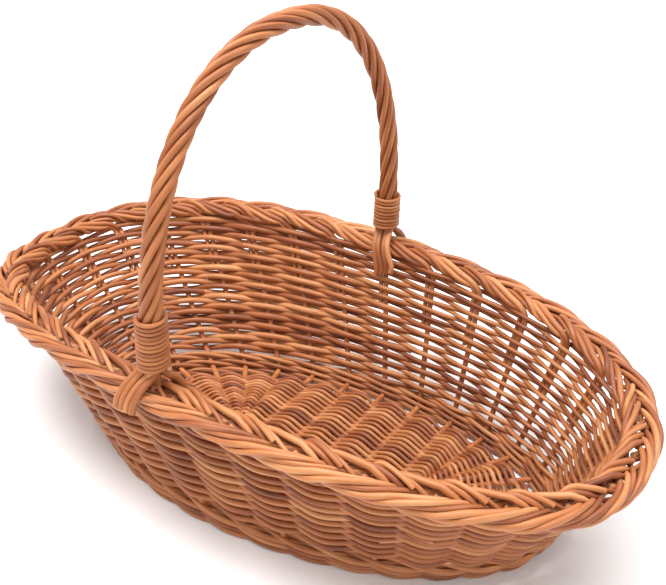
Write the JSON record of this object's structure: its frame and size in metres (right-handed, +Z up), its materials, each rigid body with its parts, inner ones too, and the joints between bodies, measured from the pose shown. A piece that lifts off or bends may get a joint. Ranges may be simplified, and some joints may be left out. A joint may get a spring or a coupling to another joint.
{
  "type": "woven market basket",
  "caption": "Oval willow basket with flared woven sides, a plaited border and a fixed roped bow handle.",
  "frame": {"origin": "on the table, under the middle of the rim's outline, which is the middle of the whole basket's outline", "axes": "+X along the basket's length, +Y across it from front to back, +Z up; the handle arches across the basket"},
  "size_m": [0.55, 0.303, 0.3507],
  "materials": {
    "base_sticks": "peeled willow sticks, satin",
    "base_weaving": "buff willow weaving, satin",
    "border_rods": "buff willow rods, satin",
    "collar_rod": "split willow rod, satin",
    "handle_rods": "buff willow rods, satin",
    "stakes": "buff willow stakes, satin",
    "waling": "buff willow rods, satin",
    "wall_weaving": "buff willow weaving, satin"
  },
  "bodies": {
    "root": {"back_collar": "collar_rod", "base_binding": "base_weaving", "base_cross_sticks": "base_sticks", "base_end_sticks_left": "base_sticks", "base_end_sticks_right": "base_sticks", "base_long_sticks": "base_sticks", "base_weave": "base_weaving", "bye_stakes_back": "stakes", "bye_stakes_front": "stakes", "bye_stakes_left": "stakes", "bye_stakes_right": "stakes", "front_collar": "collar_rod", "handle_core": "handle_rods", "handle_rod_1": "handle_rods", "handle_rod_2": "handle_rods", "handle_rod_3": "handle_rods", "handle_rod_4": "handle_rods", "handle_rod_5": "handle_rods", "handle_rod_6": "handle_rods", "lower_weave": "wall_weaving", "middle_weave": "wall_weaving", "plaited_border": "border_rods", "side_stakes_back": "stakes", "side_stakes_front": "stakes", "side_stakes_left": "stakes", "side_stakes_right": "stakes", "upper_weave": "wall_weaving", "upsett_wale": "waling"}
  },
  "joints": []
}
